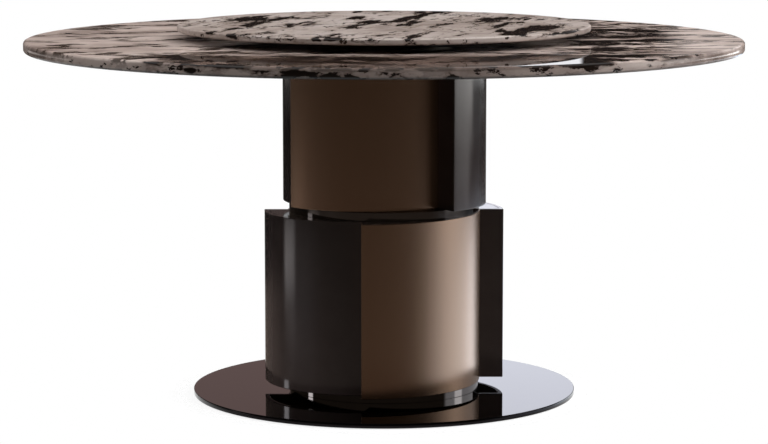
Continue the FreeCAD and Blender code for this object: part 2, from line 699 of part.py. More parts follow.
def bearing():
    dots("bearing_feet", foot_z, "sizes.foot_height", "sizes.foot_diameter / 2",
         "sizes.foot_circle", "sizes.foot_count")
    race("bearing_base", race_z, "sizes.pivot_diameter / 2 + sizes.fit_gap")
    disc("pivot_pin", race_z, "sizes.race_thickness * 2 + sizes.race_gap", "sizes.pivot_diameter / 2")
    middle = f"{race_z} + sizes.race_thickness + sizes.race_gap / 2"
    cage = disc("ball_cage", f"{middle} - sizes.cage_thickness / 2", "sizes.cage_thickness",
                "(sizes.ball_circle + sizes.cage_width) / 2", "(sizes.ball_circle - sizes.cage_width) / 2")
    drill(cage, "sizes.ball_diameter / 2 + sizes.ball_room", "sizes.ball_circle", "sizes.ball_count")
    balls("bearing_balls", middle)
    bush_inside = "sizes.pivot_diameter / 2 + sizes.pivot_room"
    bush_outside = f"{bush_inside} + sizes.bush_wall"
    race("bearing_carrier", bond_z, f"{bush_outside} + sizes.fit_gap", over=True)
    bush = disc("pivot_bush", f"{carrier_z} - sizes.bush_flange_thickness",
                "sizes.bush_flange_thickness + sizes.race_thickness", bush_outside, bush_inside)
    flange_sketch = sketch_in(bush)
    circle_in(flange_sketch, f"{bush_outside} + sizes.bush_flange_width")
    circle_in(flange_sketch, bush_inside)
    pad(bush, flange_sketch, "sizes.bush_flange_thickness")
    dots("bonding_pads", bond_z, "sizes.foot_height", "sizes.foot_diameter / 2",
         "sizes.foot_circle", "sizes.foot_count")


dots("floor_pads", "0", "sizes.pad_height", "sizes.pad_diameter / 2", "sizes.pad_circle", "sizes.pad_count")
base_plate()
column()
plinth()
drums()
neck()
support_plate()
tabletop()
bearing()
marble("turntable_disc", turntable_z, "turntable")
doc.recompute()

for item in doc.Objects:
    if "Invalid" in item.State or "Error" in item.State:
        raise RuntimeError(f"{item.Label}: {item.State}")
for item in parts:
    if item.Shape.isNull() or not item.Shape.isValid() or not item.Shape.Solids:
        raise RuntimeError(f"{item.Label}: no valid solid")

os.makedirs("parts", exist_ok=True)
for item in parts:
    item.Shape.exportStep(f"parts/{item.Label}.step")
print(len(parts), "sub-parts written")
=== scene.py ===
import json
import math

import bmesh
import bpy
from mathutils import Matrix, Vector


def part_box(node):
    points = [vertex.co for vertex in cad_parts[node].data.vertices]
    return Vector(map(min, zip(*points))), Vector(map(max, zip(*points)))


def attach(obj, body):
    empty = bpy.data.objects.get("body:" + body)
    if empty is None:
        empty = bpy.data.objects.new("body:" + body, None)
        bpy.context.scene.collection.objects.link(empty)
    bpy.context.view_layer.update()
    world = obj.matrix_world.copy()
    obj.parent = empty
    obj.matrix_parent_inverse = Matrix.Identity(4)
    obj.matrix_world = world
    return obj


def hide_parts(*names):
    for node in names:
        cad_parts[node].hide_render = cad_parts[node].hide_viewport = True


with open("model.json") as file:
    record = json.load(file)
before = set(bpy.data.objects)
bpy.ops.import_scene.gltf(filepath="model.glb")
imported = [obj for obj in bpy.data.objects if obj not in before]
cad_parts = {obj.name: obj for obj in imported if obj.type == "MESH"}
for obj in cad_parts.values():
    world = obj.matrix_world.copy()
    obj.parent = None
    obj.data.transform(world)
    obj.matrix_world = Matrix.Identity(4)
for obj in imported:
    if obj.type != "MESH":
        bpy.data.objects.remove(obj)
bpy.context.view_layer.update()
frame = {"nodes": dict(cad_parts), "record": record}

# Round marble dining table with a turntable, on two off-centre drums.
# Metres, floor at Z = 0, front towards -Y.
mm = 0.001
tiny = 0.0001 * mm  # anything shorter counts as nothing
bodies = frame["record"]["behaviour"]["bodies"]
bodyOfNode = {node: body for body, members in bodies.items() for node in members}
slotOfNode = {sub["node"]: sub["material_slot"] for sub in frame["record"]["subparts"]}
print("frame loaded:", len(frame["nodes"]), "nodes")


# Node trees

def linear(hexColour):
    parts = [int(hexColour[i:i + 2], 16) / 255 for i in (1, 3, 5)]
    return (*[c / 12.92 if c <= 0.04045 else ((c + 0.055) / 1.055) ** 2.4 for c in parts], 1)


def addNode(tree, kind, settings=None, inputs=(), output=0, stops=()):
    # Inputs are a dictionary by socket, or a list in socket order. Gives back one output socket.
    node = tree.nodes.new(kind)
    for name, value in (settings or {}).items():
        setattr(node, name, value)
    for socket, value in inputs.items() if isinstance(inputs, dict) else enumerate(inputs):
        if isinstance(value, bpy.types.NodeSocket):
            tree.links.new(value, node.inputs[socket])
        else:
            node.inputs[socket].default_value = value
    for i, (place, colour) in enumerate(stops):  # a new ramp already has two stops
        element = node.color_ramp.elements[i] if i < 2 else node.color_ramp.elements.new(1)
        element.position = place
        element.color = linear(colour)
    return node.outputs[output] if node.outputs else node


# Settings that many nodes share
smooth = {"interpolation_type": "SMOOTHSTEP"}
times = {"operation": "MULTIPLY"}
plus = {"operation": "ADD"}
minus = {"operation": "SUBTRACT"}
timesPlus = {"operation": "MULTIPLY_ADD"}
unsigned = {"operation": "ABSOLUTE"}
above = {"operation": "GREATER_THAN"}
larger = {"operation": "MAXIMUM"}
colourMix = {"data_type": "RGBA"}
noiseSpan = (0.3, 0.7)  # most values of a noise pattern lie in here


def newMaterial(name, sockets):
    material = bpy.data.materials.new(name)
    material.use_nodes = True
    tree = material.node_tree
    shader = tree.nodes["Principled BSDF"]
    for socket, value in sockets.items():
        shader.inputs[socket].default_value = value
    coords = addNode(tree, "ShaderNodeTexCoord", output="Object")
    return material, tree, shader, coords


def feedShader(tree, shader, sockets):
    for socket, value in sockets.items():
        tree.links.new(value, shader.inputs[socket])


# Marble. Both stones share their layers of noise and their finish. A layer without a raggedness of
# its own takes the stone's.

stoneLayers = {
    "wander": {"seed": 1, "detail": 3, "ragged": 0.5},
    "clouds": {"seed": 2, "detail": 9, "ragged": 0.66},
    "patches": {"seed": 3, "detail": 10},
    "flecks": {"seed": 5, "detail": 6, "ragged": 0.7},
    "veins": {"seed": 7, "detail": 8, "ragged": 0.6},
    "veinBreaks": {"seed": 9, "detail": 2, "ragged": 0.5},
    "bandEdges": {"seed": 11, "detail": 4, "ragged": 0.6},
    "rimPatches": {"seed": 13, "detail": 8, "ragged": 0.6},
}
stoneFinish = {
    "coat": {"Specular IOR Level": 0, "Coat Weight": 0.5, "Coat Roughness": 0.012, "Coat IOR": 1.5},
    "polishFrom": (0.35, 0.65), "polish": (0.22, 0.3),
    "patchEdge": 0.012, "haloEdge": (-0.05, 0.01), "haloDepth": 0.7, "fleckEdge": 0.02,
    "veinMiddle": 0.5, "breakEdge": (0.4, 0.48), "veinDepth": 0.95, "rimVeins": 0.3,
}


def polishedMarble(name, look):
    # Calcite marble, sawn, filled and polished: pinkish grey clouds, ragged brown-black patches,
    # short dark flecks and thin veins under a mirror polish
    material, tree, shader, coords = newMaterial(name, stoneFinish["coat"])

    def stoneNoise(layer, size, warp=None, output="Fac", turn=look["turn"]):
        # Blots of about this size, in millimetres along X, Y and Z
        grain = stoneLayers[layer]
        placed = addNode(tree, "ShaderNodeMapping", {"vector_type": "TEXTURE"}, {
            "Vector": coords, "Rotation": (0, 0, math.radians(turn)),
            "Scale": [s * mm for s in size]})
        if warp:
            placed = addNode(tree, "ShaderNodeVectorMath", plus, (placed, warp))
        return addNode(tree, "ShaderNodeTexNoise", {"noise_dimensions": "4D"}, {
            "Vector": placed, "W": look["seed"] + grain["seed"], "Scale": 1,
            "Detail": grain["detail"], "Roughness": grain.get("ragged", look["ragged"])}, output)

    wander = stoneNoise("wander", look["cloud"], output="Color")
    wander = addNode(tree, "ShaderNodeVectorMath", {"operation": "SCALE"}, {
        0: wander, "Scale": look["wander"]})
    clouds = stoneNoise("clouds", look["cloud"], wander)
    ground = addNode(tree, "ShaderNodeValToRGB", None, (clouds,), stops=look["ground"])

    # Patches crowd together in a band at the right of the block. The band along its front is
    # painted
    # shade: it darkens and greys the ground and crowds in more dark patches, standing in for the
    # turntable's shadow and the dark reflection of its underside. The edges of both bands stray.
    stray = look["stray"]
    strayed = stoneNoise("bandEdges", look["cloud"], output="Color")
    strayed = addNode(tree, "ShaderNodeVectorMath", timesPlus, (strayed, (stray, stray, 0), coords))
    strayed = addNode(tree, "ShaderNodeVectorMath", minus, (strayed, (stray / 2, stray / 2, 0)))
    axes = addNode(tree, "ShaderNodeSeparateXYZ", None, (strayed,)).node.outputs
    band = look["rightBand"]
    right = addNode(tree, "ShaderNodeMapRange", smooth, (axes["X"], *band["from"], 0, 1))
    rightEnd = addNode(tree, "ShaderNodeMapRange", smooth, (
        axes["X"], *band["until"], band["crowd"], 0))
    right = addNode(tree, "ShaderNodeMath", times, (right, rightEnd))
    band = look["frontShadeBand"]
    sideways = addNode(tree, "ShaderNodeMath", unsigned, (axes["X"],))
    middle = addNode(tree, "ShaderNodeMapRange", smooth, (sideways, *band["width"], 1, 0))
    top = addNode(tree, "ShaderNodeMapRange", smooth, (axes["Z"], *look["topSkin"], 0, 1))
    front = addNode(tree, "ShaderNodeMapRange", smooth, (axes["Y"], *band["from"], 1, 0))
    front = addNode(tree, "ShaderNodeMath", times, (front, middle))
    front = addNode(tree, "ShaderNodeMath", times, (front, top))
    # Painted shade: the front band multiplies the ground by its shade tint
    ground = addNode(tree, "ShaderNodeMix", {**colourMix, "blend_type": "MULTIPLY"}, {
        "Factor": front, "A": ground, "B": linear(band["shade"])}, "Result")
    crowd = addNode(tree, "ShaderNodeMath", times, (right, top))
    # Painted shade: the front band also crowds in dark patches and flecks
    crowd = addNode(tree, "ShaderNodeMath", timesPlus, (front, band["crowd"], crowd))
    rim = addNode(tree, "ShaderNodeMapRange", None, (middle, 0, 1, *look["rimCrowd"]))
    edge = addNode(tree, "ShaderNodeMapRange", smooth, (axes["Z"], *look["topSkin"], 1, 0))
    rim = addNode(tree, "ShaderNodeMath", times, (rim, edge))

    # The sawn rim shows smaller patches. The slab has most of them in the middle of its front and
    # back.
    blots = stoneNoise("patches", look["patch"], wander)
    blots = addNode(tree, "ShaderNodeMath", plus, (blots, crowd))
    rimShift = addNode(tree, "ShaderNodeMapRange", None, (middle, 0, 1, *look["rimShift"]))
    rimBlots = stoneNoise("rimPatches", look["rimPatch"])
    rimBlots = addNode(tree, "ShaderNodeMath", plus, (rimBlots, rimShift))
    blots = addNode(tree, "ShaderNodeMix", None, {"Factor": edge, "A": blots, "B": rimBlots})
    begin = look["patchFrom"]
    patches = addNode(tree, "ShaderNodeMapRange", smooth, (
        blots, begin, begin + stoneFinish["patchEdge"], 0, 1))
    haloFrom, haloTo = stoneFinish["haloEdge"]
    halos = addNode(tree, "ShaderNodeMapRange", smooth, (
        blots, begin + haloFrom, begin + haloTo, 0, stoneFinish["haloDepth"]))
    specks = stoneNoise("flecks", look["fleck"], wander)
    specks = addNode(tree, "ShaderNodeMath", plus, (specks, crowd))
    specks = addNode(tree, "ShaderNodeMath", plus, (specks, rim))
    begin = look["fleckFrom"]
    flecks = addNode(tree, "ShaderNodeMapRange", smooth, (
        specks, begin, begin + stoneFinish["fleckEdge"], 0, 1))

    # Veins run where a noise crosses its middle value. They break off here and there, and are
    # fainter on the rim.
    ridge = stoneNoise("veins", look["vein"], wander, turn=look["veinTurn"])
    ridge = addNode(tree, "ShaderNodeMath", minus, (ridge, stoneFinish["veinMiddle"]))
    ridge = addNode(tree, "ShaderNodeMath", unsigned, (ridge,))
    width = look["veinWidth"]
    veins = addNode(tree, "ShaderNodeMapRange", smooth, (ridge, width / 2, width, 1, 0))
    broken = stoneNoise("veinBreaks", look["vein"])
    broken = addNode(tree, "ShaderNodeMapRange", smooth, (
        broken, *stoneFinish["breakEdge"], 0, stoneFinish["veinDepth"]))
    veins = addNode(tree, "ShaderNodeMath", times, (veins, broken))
    faint = addNode(tree, "ShaderNodeMapRange", None, (edge, 0, 1, 1, stoneFinish["rimVeins"]))
    veins = addNode(tree, "ShaderNodeMath", times, (veins, faint))

    marks = ((halos, "halo"), (veins, "veinColour"), (flecks, "fleckColour"), (patches, "dark"))
    colour = ground
    for mask, tint in marks:
        colour = addNode(tree, "ShaderNodeMix", colourMix, {
            "Factor": mask, "A": colour, "B": linear(look[tint])}, "Result")
    polish = addNode(tree, "ShaderNodeMapRange", smooth, (
        clouds, *stoneFinish["polishFrom"], *stoneFinish["polish"]))
    feedShader(tree, shader, {"Base Color": colour, "Roughness": polish})
    return material


# Sizes of blots are millimetres, places of bands are metres
slabMarble = {
    "turn": 4, "seed": 2.0, "cloud": (260, 160, 160), "wander": 0.35, "stray": 0.12,
    "ground": [(0.36, "#83736c"), (0.44, "#a99890"), (0.53, "#bdaca4"), (0.6, "#c7b7af"),
               (0.68, "#ab9b92")],
    "patch": (170, 70, 40), "ragged": 0.62, "patchFrom": 0.605, "topSkin": (0.741, 0.749),
    "rimCrowd": (0.05, 0.1), "rimPatch": (60, 60, 30), "rimShift": (0.0, 0.06),
    "rightBand": {"from": (0.3, 0.42), "until": (0.52, 0.72), "crowd": 0.1},
    # The front band is painted shade of the turntable on the slab's front strip
    "frontShadeBand": {"from": (-0.5, -0.38), "width": (0.36, 0.5), "crowd": 0.11, "shade": "#8f8580"},
    "fleck": (100, 60, 40), "fleckFrom": 0.635,
    "vein": (420, 150, 90), "veinTurn": 24, "veinWidth": 0.034,
    "halo": "#6b5a52", "veinColour": "#33271f", "fleckColour": "#241b17", "dark": "#1c1512",
}
turntableMarble = {
    "turn": -14, "seed": 5.0, "cloud": (150, 240, 150), "wander": 0.4, "stray": 0.12,
    "ground": [(0.36, "#8d7f78"), (0.46, "#a89a92"), (0.53, "#b7aaa3"), (0.6, "#bfb3ad"),
               (0.68, "#a99c95")],
    "patch": (62, 240, 50), "ragged": 0.6, "patchFrom": 0.552, "topSkin": (0.77, 0.778),
    "rimCrowd": (0.02, 0.0), "rimPatch": (60, 60, 30), "rimShift": (-0.04, -0.04),
    "rightBand": {"from": (-0.2, 0.3), "until": (0.5, 0.6), "crowd": 0.012},
    "frontShadeBand": {"from": (-0.6, -0.5), "width": (0.3, 0.4), "crowd": 0.0, "shade": "#ffffff"},
    "fleck": (22, 60, 22), "fleckFrom": 0.605,
    "vein": (240, 420, 100), "veinTurn": -34, "veinWidth": 0.008,
    "halo": "#7a6a61", "veinColour": "#3f312a", "fleckColour": "#33271f", "dark": "#1c1512",
}


# Lacquer, bronze and the other finishes

lacquerLook = {"drift": 90 * mm, "tint": ("#493e3c", "#514644"), "gloss": (0.07, 0.11),
               "peel": 3 * mm, "peelDepth": 0.02}


def darkLacquer():
    # Polyester lacquer over bent plywood, rubbed to a high gloss: deep brown-black with a faint
    # orange peel
    look = lacquerLook
    material, tree, shader, coords = newMaterial("dark_lacquer", {"IOR": 1.5})
    drift = addNode(tree, "ShaderNodeTexNoise", None, {
        "Vector": coords, "Scale": 1 / look["drift"], "Detail": 4})
    tint = addNode(tree, "ShaderNodeValToRGB", None, (drift,), stops=zip(noiseSpan, look["tint"]))
    gloss = addNode(tree, "ShaderNodeMapRange", None, (drift, *noiseSpan, *look["gloss"]))
    peel = addNode(tree, "ShaderNodeTexNoise", None, {
        "Vector": coords, "Scale": 1 / look["peel"], "Detail": 1})
    bump = addNode(tree, "ShaderNodeBump", None, {
        "Height": peel, "Strength": look["peelDepth"], "Distance": mm})
    feedShader(tree, shader, {"Base Color": tint, "Roughness": gloss, "Normal": bump})
    return material


# Real hairlines are finer than a pixel, so these are 2.5 mm apart
bronzeLook = {"hairline": 2.5 * mm, "upright": (1, 1, 0.02), "tint": ("#8f7662", "#927965"),
              "satin": (0.25, 0.27), "spread": 0.85}


def brushedBronze():
    # Stainless sheet, brushed upright and coloured bronze: brown with fine upright hairlines, and
    # highlights that spread sideways
    look = bronzeLook
    material, tree, shader, coords = newMaterial("brushed_bronze", {
        "Metallic": 1, "Anisotropic": look["spread"]})
    upright = addNode(tree, "ShaderNodeMapping", None, {"Vector": coords, "Scale": look["upright"]})
    hairs = addNode(tree, "ShaderNodeTexNoise", None, {
        "Vector": upright, "Scale": 1 / look["hairline"], "Detail": 3, "Roughness": 0.6})
    tint = addNode(tree, "ShaderNodeValToRGB", None, (hairs,), stops=zip(noiseSpan, look["tint"]))
    satin = addNode(tree, "ShaderNodeMapRange", None, (hairs, *noiseSpan, *look["satin"]))
    around = addNode(tree, "ShaderNodeTangent", {"direction_type": "RADIAL", "axis": "Z"})
    feedShader(tree, shader, {"Base Color": tint, "Roughness": satin, "Tangent": around})
    return material


def polishedMetal(name, tints, rough, wearSize):
    # Polished or plated metal: a clear or satin mirror with faint wiping marks
    material, tree, shader, coords = newMaterial(name, {"Metallic": 1})
    wear = addNode(tree, "ShaderNodeTexNoise", None, {
        "Vector": coords, "Scale": 1 / (wearSize * mm), "Detail": 6, "Roughness": 0.6})
    tint = addNode(tree, "ShaderNodeValToRGB", None, (wear,), stops=zip(noiseSpan, tints))
    polish = addNode(tree, "ShaderNodeMapRange", None, (wear, *noiseSpan, *rough))
    feedShader(tree, shader, {"Base Color": tint, "Roughness": polish})
    return material


def plainFinish(name, tints, rough, grainSize):
    # Moulded, coated or sanded surface: matt, with a fine even grain
    material, tree, shader, coords = newMaterial(name, {"Roughness": rough})
    grain = addNode(tree, "ShaderNodeTexNoise", None, {
        "Vector": coords, "Scale": 1 / (grainSize * mm), "Detail": 5, "Roughness": 0.65})
    tint = addNode(tree, "ShaderNodeValToRGB", None, (grain,), stops=zip(noiseSpan, tints))
    bump = addNode(tree, "ShaderNodeBump", None, {
        "Height": grain, "Strength": 0.1, "Distance": mm})
    feedShader(tree, shader, {"Base Color": tint, "Normal": bump})
    return material


# For each material slot: name, darker and lighter tint, roughness, size of the marks in millimetres
metalLooks = {
    "black_mirror_steel": ("black_mirror_steel", ("#1a1819", "#211f20"), (0.02, 0.045), 60),
    "polished_band": ("polished_band_steel", ("#827e7c", "#8c8886"), (0.03, 0.06), 40),
    "zinc_steel": ("zinc_plated_steel", ("#a9a8a2", "#c0beb6"), (0.28, 0.4), 6),
    "brass": ("turned_brass", ("#c29a4a", "#d4ad5f"), (0.2, 0.3), 3),
    "bearing_aluminium": ("spun_aluminium", ("#55534f", "#66635f"), (0.3, 0.42), 12),
    "bearing_steel": ("ground_bearing_steel", ("#b8b8ba", "#c9c9ca"), (0.05, 0.1), 5),
}
plainLooks = {
    "black_steel": ("black_powder_coated_steel", ("#191817", "#242220"), 0.55, 1.5),
    "board": ("fibreboard", ("#8f7250", "#a98a64"), 0.8, 4),
    "black_rubber": ("moulded_rubber", ("#161616", "#222121"), 0.75, 1.2),
    "silicone": ("clear_grey_silicone", ("#8d8d8c", "#a2a2a0"), 0.45, 3),
    "nylon": ("moulded_nylon", ("#1b1b1c", "#282828"), 0.5, 2),
}
slabStone = polishedMarble("polished_marble_top", slabMarble)
turntableStone = polishedMarble("polished_marble_turntable", turntableMarble)
neckSteel = polishedMetal("polished_dark_neck_steel", ("#5a5654", "#65615e"), (0.03, 0.06), 40)
finishes = {"marble": slabStone, "dark_lacquer": darkLacquer(), "bronze_sheet": brushedBronze()}
finishes.update({slot: polishedMetal(*look) for slot, look in metalLooks.items()})
finishes.update({slot: plainFinish(*look) for slot, look in plainLooks.items()})
for node, cadObject in frame["nodes"].items():
    cadObject.data.materials.clear()
    cadObject.data.materials.append(finishes[slotOfNode[node]])
print("finishes made:", len(finishes))


# Mesh helpers

sharpAngle = math.radians(50)  # steeper edges than this are shaded sharp


def roundCorners(points, steps, hold, closed=True):
    # Points are (x, y, rounding). Each rounded corner becomes an arc with a holding point on
    # either side.
    result = []
    count = len(points)
    for i, (x, y, rounding) in enumerate(points):
        here = Vector((x, y))
        if not rounding or (not closed and i in (0, count - 1)):
            result.append(here)
            continue
        before = (Vector(points[i - 1][:2]) - here).normalized()
        after = (Vector(points[(i + 1) % count][:2]) - here).normalized()
        half = before.angle(after) / 2
        reach = rounding / math.tan(half)
        centre = here + (before + after).normalized() * (rounding / math.sin(half))
        start = here + before * reach - centre
        sweep = start.angle_signed(here + after * reach - centre)
        result.append(here + before * (reach + hold))
        for step in range(steps + 1):
            angle = -sweep * step / steps
            turned = Vector((start.x * math.cos(angle) - start.y * math.sin(angle),
                             start.x * math.sin(angle) + start.y * math.cos(angle)))
            result.append(centre + turned)
        result.append(here + after * (reach + hold))
    return result


def turnMesh(profile, segments, closed=False):
    # Revolves (radius, height) points round Z. Points on the axis become one pole.
    shape = bmesh.new()
    rings = []
    for radius, height in profile:
        if radius < tiny:
            rings.append([shape.verts.new((0, 0, height))])
            continue
        rings.append([shape.verts.new((radius * math.cos(2 * math.pi * k / segments),
                                       radius * math.sin(2 * math.pi * k / segments), height))
                      for k in range(segments)])
    pairs = zip(rings, rings[1:] + rings[:1]) if closed else zip(rings, rings[1:])
    for low, high in pairs:
        for k in range(segments):
            after = (k + 1) % segments
            corners = [low[k % len(low)], low[after % len(low)],
                       high[after % len(high)], high[k % len(high)]]
            unique = list(dict.fromkeys(corners))
            if len(unique) > 2:
                shape.faces.new(unique)
    return shape


def standMesh(outline, low, high, rounding, steps, hold):
    # Stands an outline up between two levels, with rounded upper and lower edges
    shape = bmesh.new()
    count = len(outline)
    outwards = []
    for i in range(count):
        along = (outline[(i + 1) % count] - outline[i - 1]).normalized()
        outwards.append(Vector((along.y, -along.x)))
    layers = [(rounding + hold, 0)]
    for step in range(steps + 1):
        angle = math.pi / 2 * step / steps
        layers.append((rounding * (1 - math.sin(angle)), rounding * (1 - math.cos(angle))))
    layers.append((0, rounding + hold))
    levels = [(inset, low + rise) for inset, rise in layers]
    levels += [(inset, high - rise) for inset, rise in reversed(layers)]
    rings = [[shape.verts.new((*(point - out * inset), height))
              for point, out in zip(outline, outwards)] for inset, height in levels]
    for lower, upper in zip(rings, rings[1:]):
        for i in range(count):
            after = (i + 1) % count
            shape.faces.new((lower[i], lower[after], upper[after], upper[i]))
    shape.faces.new(list(reversed(rings[0])))
    shape.faces.new(rings[-1])
    return shape


def smoothMesh(name, shape):
    bmesh.ops.recalc_face_normals(shape, faces=shape.faces)
    mesh = bpy.data.meshes.new(name)
    shape.to_mesh(mesh)
    shape.free()
    mesh.shade_smooth()
    mesh.set_sharp_from_angle(angle=sharpAngle)
    return mesh


def addPiece(name, mesh, node):
    piece = bpy.data.objects.new(name, mesh)
    bpy.context.scene.collection.objects.link(piece)
    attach(piece, bodyOfNode[node])
    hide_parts(node)


def newTree(name, sizes):
    # Sizes are labels with their socket kinds. Gives back the tree and the identifier of each
    # size's socket.
    tree = bpy.data.node_groups.new(name, "GeometryNodeTree")
    sockets = {label: tree.interface.new_socket(label, in_out="INPUT", socket_type=kind).identifier
               for label, kind in sizes.items()}
    tree.interface.new_socket("Geometry", in_out="OUTPUT", socket_type="NodeSocketGeometry")
    return tree, sockets


def bakeTree(name, tree, sockets, sizes):
    # Runs a tree once and keeps its result as a plain mesh
    holder = bpy.data.objects.new(name, bpy.data.meshes.new(name))
    bpy.context.scene.collection.objects.link(holder)
    modifier = holder.modifiers.new("maker", "NODES")
    modifier.node_group = tree
    for label, identifier in sockets.items():
        modifier[identifier] = sizes[label]
    graph = bpy.context.evaluated_depsgraph_get()
    made = bpy.data.meshes.new_from_object(holder.evaluated_get(graph))
    holder.modifiers.clear()
    bpy.data.objects.remove(holder)
    shape = bmesh.new()
    shape.from_mesh(made)
    bmesh.ops.recalc_face_normals(shape, faces=shape.faces)
    shape.to_mesh(made)
    shape.free()
    return made


# Round plates: marble top, turntable, base plate and support plate. Each is a rounded rectangle
# turned about the axis.

discSizes = {"Radius": "NodeSocketFloat", "Thickness": "NodeSocketFloat",
             "Rounding": "NodeSocketFloat", "Level": "NodeSocketFloat",
             "Segments": "NodeSocketInt", "Steps": "NodeSocketInt"}
discMaking = {"core": 1 * mm, "weld": 0.01 * mm, "levelFrom": 0.9999}


def discTree(name, material):
    tree, sockets = newTree(name, discSizes)
    sizes = addNode(tree, "NodeGroupInput").node.outputs
    half = addNode(tree, "ShaderNodeMath", times, (sizes["Radius"], 0.5))
    path = addNode(tree, "GeometryNodeCurvePrimitiveCircle", {"mode": "RADIUS"}, {
        "Resolution": sizes["Segments"], "Radius": half})
    path = addNode(tree, "GeometryNodeSetCurveNormal", {"mode": "Z_UP"}, {"Curve": path})
    section = addNode(tree, "GeometryNodeCurvePrimitiveQuadrilateral", {"mode": "RECTANGLE"}, {
        "Width": sizes["Radius"], "Height": sizes["Thickness"]})

    # Only the outer corners are rounded
    place = addNode(tree, "GeometryNodeInputPosition")
    across = addNode(tree, "ShaderNodeSeparateXYZ", None, (place,))
    outer = addNode(tree, "ShaderNodeMath", above, (across, 0.0))
    rounding = addNode(tree, "ShaderNodeMath", times, (outer, sizes["Rounding"]))
    section = addNode(tree, "GeometryNodeFilletCurve", {"mode": "POLY"}, {
        "Curve": section, "Count": sizes["Steps"], "Radius": rounding})
    turned = addNode(tree, "GeometryNodeCurveToMesh", None, {
        "Curve": path, "Profile Curve": section})

    # The faces on the axis go, and both poles close
    flat = addNode(tree, "ShaderNodeVectorMath", times, (place, (1, 1, 0)))
    reach = addNode(tree, "ShaderNodeVectorMath", {"operation": "LENGTH"}, (flat,), "Value")
    core = addNode(tree, "ShaderNodeMath", {"operation": "LESS_THAN"}, (reach, discMaking["core"]))
    turned = addNode(tree, "GeometryNodeDeleteGeometry", {"domain": "FACE"}, {
        "Geometry": turned, "Selection": core})
    turned = addNode(tree, "GeometryNodeMergeByDistance", None, {
        "Geometry": turned, "Distance": discMaking["weld"]})

    lift = addNode(tree, "ShaderNodeMath", timesPlus, (sizes["Thickness"], 0.5, sizes["Level"]))
    lift = addNode(tree, "ShaderNodeCombineXYZ", None, {"Z": lift})
    turned = addNode(tree, "GeometryNodeSetPosition", None, {"Geometry": turned, "Offset": lift})
    facing = addNode(tree, "GeometryNodeInputNormal")
    facing = addNode(tree, "ShaderNodeSeparateXYZ", None, (facing,), "Z")
    facing = addNode(tree, "ShaderNodeMath", unsigned, (facing,))
    level = addNode(tree, "ShaderNodeMath", above, (facing, discMaking["levelFrom"]))
    turned = addNode(tree, "GeometryNodeSetShadeSmooth", None, {
        "Geometry": turned, "Selection": level, "Shade Smooth": False})
    turned = addNode(tree, "GeometryNodeRealizeInstances", None, (turned,))
    turned = addNode(tree, "GeometryNodeSetMaterial", None, {
        "Geometry": turned, "Material": material})
    addNode(tree, "NodeGroupOutput", None, (turned,))
    return tree, sockets


discLooks = {
    "marble_top": {"node": "tabletop", "finish": slabStone,
                   "Rounding": 6 * mm, "Segments": 320, "Steps": 9},
    "marble_turntable": {"node": "turntable_disc", "finish": turntableStone,
                         "Rounding": 4 * mm, "Segments": 256, "Steps": 9},
    "mirror_base_plate": {"node": "base_plate", "finish": finishes["black_mirror_steel"],
                          "Rounding": 1 * mm, "Segments": 256, "Steps": 5},
    "steel_support_plate": {"node": "support_plate", "finish": finishes["black_steel"],
                            "Rounding": 1 * mm, "Segments": 192, "Steps": 4},
}
for name, look in discLooks.items():
    low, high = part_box(look["node"])
    look.update({"Radius": high.x, "Thickness": high.z - low.z, "Level": low.z})
    tree, sockets = discTree(f"{name}_tree", look["finish"])
    addPiece(name, bakeTree(name, tree, sockets, look), look["node"])


bandLook = {"wall": 2 * mm, "round": 0.5 * mm, "arcSteps": 3, "hold": 0.2 * mm, "segments": 192}


def bandPiece(name, node, material):
    # Thin-walled band round the axis, to the size of its node
    low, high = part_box(node)
    inner = high.x - bandLook["wall"]
    corners = [(inner, low.z), (high.x, low.z), (high.x, high.z), (inner, high.z)]
    corners = [(*corner, bandLook["round"]) for corner in corners]
    profile = roundCorners(corners, bandLook["arcSteps"], bandLook["hold"])
    mesh = smoothMesh(name, turnMesh(profile, bandLook["segments"], closed=True))
    mesh.materials.append(material)
    addPiece(name, mesh, node)


bandPiece("polished_plinth_band", "plinth_band", finishes["polished_band"])
bandPiece("polished_neck_band", "neck_band", neckSteel)
print("marble, plates and bands made")


# Drum panels: a dark quarter and a wider bronze quarter share a centre that lies off the axis.
# Turns are degrees.

drumLooks = {
    "lower": {"darkRadius": 206 * mm, "bronzeRadius": 248 * mm, "offset": 46 * mm, "turn": 0},
    "upper": {"darkRadius": 190 * mm, "bronzeRadius": 217 * mm, "offset": 38 * mm, "turn": -51.3},
}
panelLook = {"darkThick": 10 * mm, "darkRound": 1.5 * mm,
             "bronzeThick": 2 * mm, "bronzeRound": 0.6 * mm,
             "arcPoints": 64, "arcSteps": 4, "hold": 0.3 * mm}


def arcPoints(centre, radius, startAngle, endAngle):
    count = panelLook["arcPoints"]
    angles = [math.radians(startAngle + (endAngle - startAngle) * k / count)
              for k in range(count + 1)]
    return [(centre + radius * math.cos(a), radius * math.sin(a)) for a in angles]


def darkPanel(name, node, drum, halfTurn):
    # Quarter shell with a flat return that reaches out to the bronze radius
    thick, offset = panelLook["darkThick"], drum["offset"]
    outside, inside = drum["darkRadius"], drum["darkRadius"] - thick
    returnEnd = drum["bronzeRadius"] - panelLook["bronzeThick"] - offset
    seat = math.degrees(math.asin(thick / inside))
    outline = arcPoints(-offset, outside, 180, 270)
    outline += arcPoints(-offset, inside, 270, 180 + seat)
    outline += [(-returnEnd, -thick), (-returnEnd, 0)]
    turn = drum["turn"] + halfTurn
    standPanel(name, node, outline, turn, panelLook["darkRound"], finishes["dark_lacquer"])


